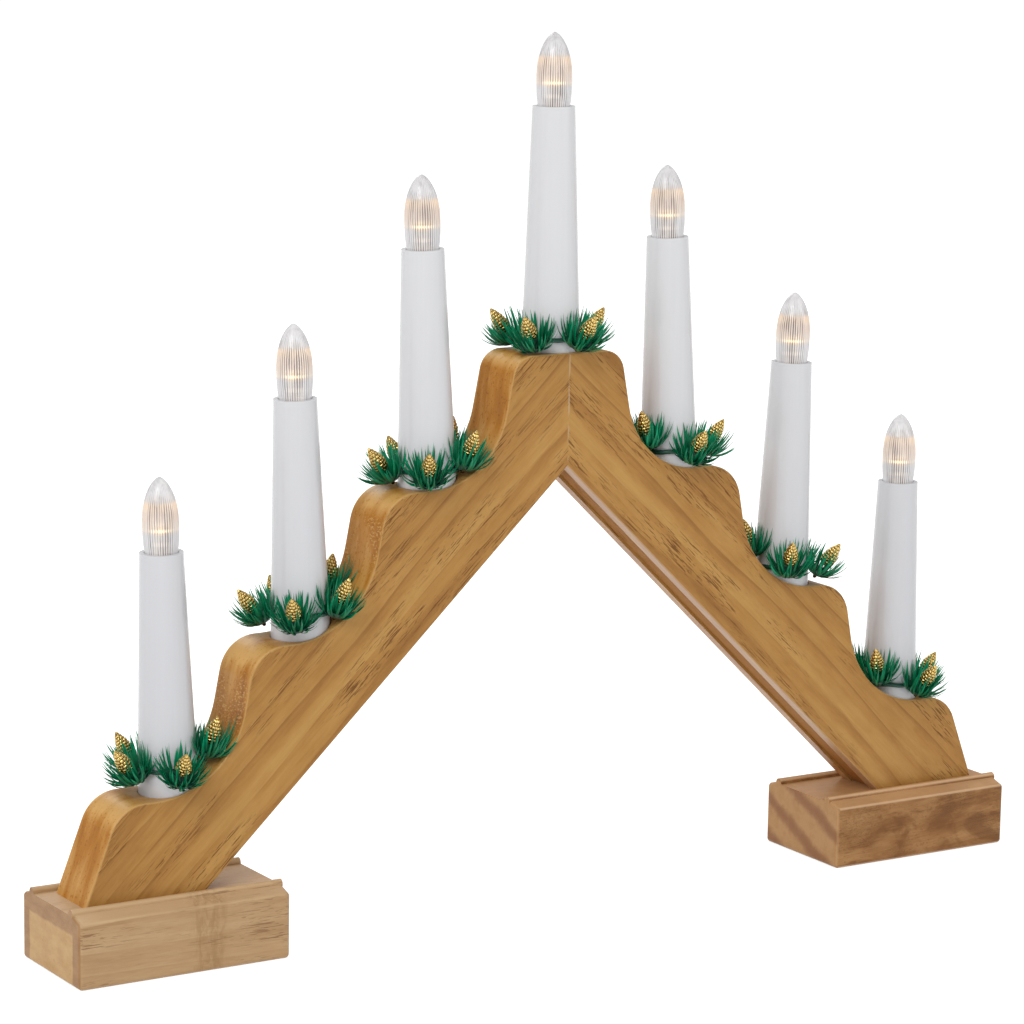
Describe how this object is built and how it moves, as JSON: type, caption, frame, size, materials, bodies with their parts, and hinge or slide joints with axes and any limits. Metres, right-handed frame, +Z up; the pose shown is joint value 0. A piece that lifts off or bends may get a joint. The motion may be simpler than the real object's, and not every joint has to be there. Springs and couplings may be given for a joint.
{
  "type": "candle arch",
  "caption": "Stepped wooden window arch on two block feet, with electric candles on its steps, a needle-and-cone wreath round each candle and a battery box in one foot.",
  "frame": {"origin": "centre of the standing surface, midway between the two feet", "axes": "+X along the arch, front faces -Y, +Z up"},
  "size_m": [0.4, 0.0522, 0.3199],
  "materials": {
    "varnished_pine": "satin varnish",
    "duct_cover_wood": "matt",
    "dowel_wood": "matt",
    "steel": "zinc plated",
    "wire_sleeve": "matt",
    "dark_plastic": "fine grain",
    "cell_metal": "satin sleeve",
    "white_plastic": "satin",
    "warm_plastic": "satin",
    "clear_cover": "clear, fluted",
    "green_needles": "satin",
    "gold_cones": "bright"
  },
  "bodies": {
    "arch": {"left_arm": "varnished_pine", "right_arm": "varnished_pine", "left_foot": "varnished_pine", "right_foot": "varnished_pine", "left_duct_cover": "duct_cover_wood", "right_duct_cover": "duct_cover_wood", "mitre_dowels": "dowel_wood", "foot_screws": "steel", "left_loom": "wire_sleeve", "right_loom": "wire_sleeve", "battery_box": "dark_plastic", "battery_cells": "cell_metal", "battery_contacts": "steel", "switch_body": "dark_plastic", "candle_tube_1": "white_plastic", "lamp_socket_1": "white_plastic", "candle_tube_2": "white_plastic", "lamp_socket_2": "white_plastic", "candle_tube_3": "white_plastic", "lamp_socket_3": "white_plastic", "candle_tube_4": "white_plastic", "lamp_socket_4": "white_plastic", "candle_tube_5": "white_plastic", "lamp_socket_5": "white_plastic", "candle_tube_6": "white_plastic", "lamp_socket_6": "white_plastic", "candle_tube_7": "white_plastic", "lamp_socket_7": "white_plastic"},
    "lamp_1": {"lamp_base_1": "warm_plastic", "lamp_cover_1": "clear_cover"},
    "decoration_1": {"wreath_1": "green_needles", "pine_cones_1": "gold_cones"},
    "lamp_2": {"lamp_base_2": "warm_plastic", "lamp_cover_2": "clear_cover"},
    "decoration_2": {"wreath_2": "green_needles", "pine_cones_2": "gold_cones"},
    "lamp_3": {"lamp_base_3": "warm_plastic", "lamp_cover_3": "clear_cover"},
    "decoration_3": {"wreath_3": "green_needles", "pine_cones_3": "gold_cones"},
    "lamp_4": {"lamp_base_4": "warm_plastic", "lamp_cover_4": "clear_cover"},
    "decoration_4": {"wreath_4": "green_needles", "pine_cones_4": "gold_cones"},
    "lamp_5": {"lamp_base_5": "warm_plastic", "lamp_cover_5": "clear_cover"},
    "decoration_5": {"wreath_5": "green_needles", "pine_cones_5": "gold_cones"},
    "lamp_6": {"lamp_base_6": "warm_plastic", "lamp_cover_6": "clear_cover"},
    "decoration_6": {"wreath_6": "green_needles", "pine_cones_6": "gold_cones"},
    "lamp_7": {"lamp_base_7": "warm_plastic", "lamp_cover_7": "clear_cover"},
    "decoration_7": {"wreath_7": "green_needles", "pine_cones_7": "gold_cones"},
    "battery_lid": {"battery_cover": "dark_plastic"},
    "switch": {"switch_knob": "dark_plastic"}
  },
  "joints": [
    {"name": "lamp_1_out", "type": "slide", "parent": "arch", "child": "lamp_1", "axis": [-0.0314, 0, 0.9995], "range_m": [0, 0.03]},
    {"name": "lamp_2_out", "type": "slide", "parent": "arch", "child": "lamp_2", "axis": [-0.0332, 0, 0.9995], "range_m": [0, 0.03]},
    {"name": "lamp_3_out", "type": "slide", "parent": "arch", "child": "lamp_3", "axis": [-0.0349, 0, 0.9994], "range_m": [0, 0.03]},
    {"name": "lamp_4_out", "type": "slide", "parent": "arch", "child": "lamp_4", "axis": [-0.0052, 0, 1], "range_m": [0, 0.03]},
    {"name": "lamp_5_out", "type": "slide", "parent": "arch", "child": "lamp_5", "axis": [-0.0332, 0, 0.9995], "range_m": [0, 0.03]},
    {"name": "lamp_6_out", "type": "slide", "parent": "arch", "child": "lamp_6", "axis": [0.0262, 0, 0.9997], "range_m": [0, 0.03]},
    {"name": "lamp_7_out", "type": "slide", "parent": "arch", "child": "lamp_7", "axis": [0.0122, 0, 0.9999], "range_m": [0, 0.03]},
    {"name": "wreath_1_lift", "type": "slide", "parent": "arch", "child": "decoration_1", "axis": [-0.0314, 0, 0.9995], "range_m": [0, 0.12]},
    {"name": "wreath_2_lift", "type": "slide", "parent": "arch", "child": "decoration_2", "axis": [-0.0332, 0, 0.9995], "range_m": [0, 0.12]},
    {"name": "wreath_3_lift", "type": "slide", "parent": "arch", "child": "decoration_3", "axis": [-0.0349, 0, 0.9994], "range_m": [0, 0.12]},
    {"name": "wreath_4_lift", "type": "slide", "parent": "arch", "child": "decoration_4", "axis": [-0.0052, 0, 1], "range_m": [0, 0.12]},
    {"name": "wreath_5_lift", "type": "slide", "parent": "arch", "child": "decoration_5", "axis": [-0.0332, 0, 0.9995], "range_m": [0, 0.12]},
    {"name": "wreath_6_lift", "type": "slide", "parent": "arch", "child": "decoration_6", "axis": [0.0262, 0, 0.9997], "range_m": [0, 0.12]},
    {"name": "wreath_7_lift", "type": "slide", "parent": "arch", "child": "decoration_7", "axis": [0.0122, 0, 0.9999], "range_m": [0, 0.12]},
    {"name": "battery_lid_out", "type": "slide", "parent": "arch", "child": "battery_lid", "axis": [0, 0, -1], "range_m": [0, 0.02]},
    {"name": "switch_slide", "type": "slide", "parent": "arch", "child": "switch", "axis": [0, 1, 0], "range_m": [0, 0.004]}
  ]
}
